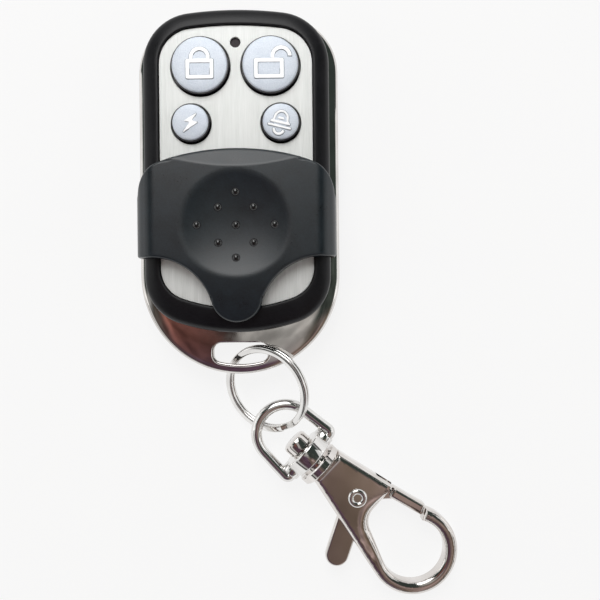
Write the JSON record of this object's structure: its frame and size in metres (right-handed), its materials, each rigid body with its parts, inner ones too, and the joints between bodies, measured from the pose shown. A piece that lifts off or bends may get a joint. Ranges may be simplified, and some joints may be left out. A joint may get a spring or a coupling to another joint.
{
  "type": "alarm key fob",
  "caption": "Pocket alarm remote: black case in a chrome frame, silver keys under a sliding cover, split key ring and swivel lobster clasp.",
  "frame": {"origin": "middle of the flat back of the case, on its outer face", "axes": "+Y to the button end of the case, +Z out of the front face, +X to the right seen from the front"},
  "size_m": [0.051, 0.0947, 0.014],
  "materials": {
    "shell_black": "satin black moulded plastic",
    "cover_black": "fine-grained black moulded plastic",
    "brushed_plate": "brushed along its length",
    "frame_chrome": "polished plating",
    "key_black": "smooth black",
    "cap_silver": "satin silver",
    "plunger_white": "plain",
    "screw_steel": "zinc plated",
    "board_green": "solder mask",
    "switch_grey": "plain",
    "led_red": "tinted resin",
    "pipe_smoke": "smoked",
    "chip_black": "moulded",
    "can_steel": "plated can",
    "cell_wrap": "plain foil wrap",
    "contact_metal": "tinned",
    "ring_nickel": "polished nickel",
    "clasp_nickel": "polished nickel",
    "spring_steel": "drawn wire"
  },
  "bodies": {
    "fob": {"front_shell": "shell_black", "face_plate": "brushed_plate", "chrome_frame": "frame_chrome", "rear_cover": "shell_black", "case_screws": "screw_steel", "circuit_board": "board_green", "switch_bodies": "switch_grey", "indicator_led": "led_red", "light_pipe": "pipe_smoke", "encoder_chip": "chip_black", "resonator": "can_steel", "battery": "cell_wrap", "battery_plate": "contact_metal", "battery_spring": "contact_metal"},
    "cover": {"slide_cover": "cover_black"},
    "lock_button": {"lock_key": "key_black", "lock_cap": "cap_silver", "lock_plunger": "plunger_white"},
    "unlock_button": {"unlock_key": "key_black", "unlock_cap": "cap_silver", "unlock_plunger": "plunger_white"},
    "flash_button": {"flash_key": "key_black", "flash_cap": "cap_silver", "flash_plunger": "plunger_white"},
    "bell_button": {"bell_key": "key_black", "bell_cap": "cap_silver", "bell_plunger": "plunger_white"},
    "ring": {"key_ring": "ring_nickel"},
    "eye": {"swivel_eye": "clasp_nickel"},
    "clasp": {"clasp_body": "clasp_nickel", "clasp_rivet": "clasp_nickel", "lever_spring": "spring_steel"},
    "lever": {"clasp_lever": "clasp_nickel"}
  },
  "joints": [
    {"name": "cover_slide", "type": "slide", "parent": "fob", "child": "cover", "axis": [0, 1, 0], "range_m": [0, 0.018]},
    {"name": "lock_press", "type": "slide", "parent": "fob", "child": "lock_button", "axis": [0, 0, -1], "range_m": [0, 0.0003], "stiffness_N_per_m": 300, "springref_m": -0.001},
    {"name": "unlock_press", "type": "slide", "parent": "fob", "child": "unlock_button", "axis": [0, 0, -1], "range_m": [0, 0.0003], "stiffness_N_per_m": 300, "springref_m": -0.001},
    {"name": "flash_press", "type": "slide", "parent": "fob", "child": "flash_button", "axis": [0, 0, -1], "range_m": [0, 0.0003], "stiffness_N_per_m": 300, "springref_m": -0.001},
    {"name": "bell_press", "type": "slide", "parent": "fob", "child": "bell_button", "axis": [0, 0, -1], "range_m": [0, 0.0003], "stiffness_N_per_m": 300, "springref_m": -0.001},
    {"name": "ring_tilt", "type": "hinge", "parent": "fob", "child": "ring", "pos_m": [0.00406, -0.03442, 0.0049], "axis": [0.5299, -0.848, 0], "range_deg": [0, 50]},
    {"name": "eye_swing", "type": "hinge", "parent": "ring", "child": "eye", "pos_m": [0.00611, -0.03916, 0.0044], "axis": [-0.7942, -0.2864, -0.5359], "range_deg": [-40, 20]},
    {"name": "clasp_swivel", "type": "hinge", "parent": "eye", "child": "clasp", "pos_m": [0.01172, -0.04614, 0.00395], "axis": [0.7236, -0.6867, -0.0698], "continuous": true},
    {"name": "lever_open", "type": "hinge", "parent": "clasp", "child": "lever", "pos_m": [0.01844, -0.0521, 0.00332], "axis": [-0.0506, 0.048, -0.9976], "range_deg": [0, 28], "stiffness_Nm_per_rad": 0.005, "springref_deg": -22.92}
  ]
}
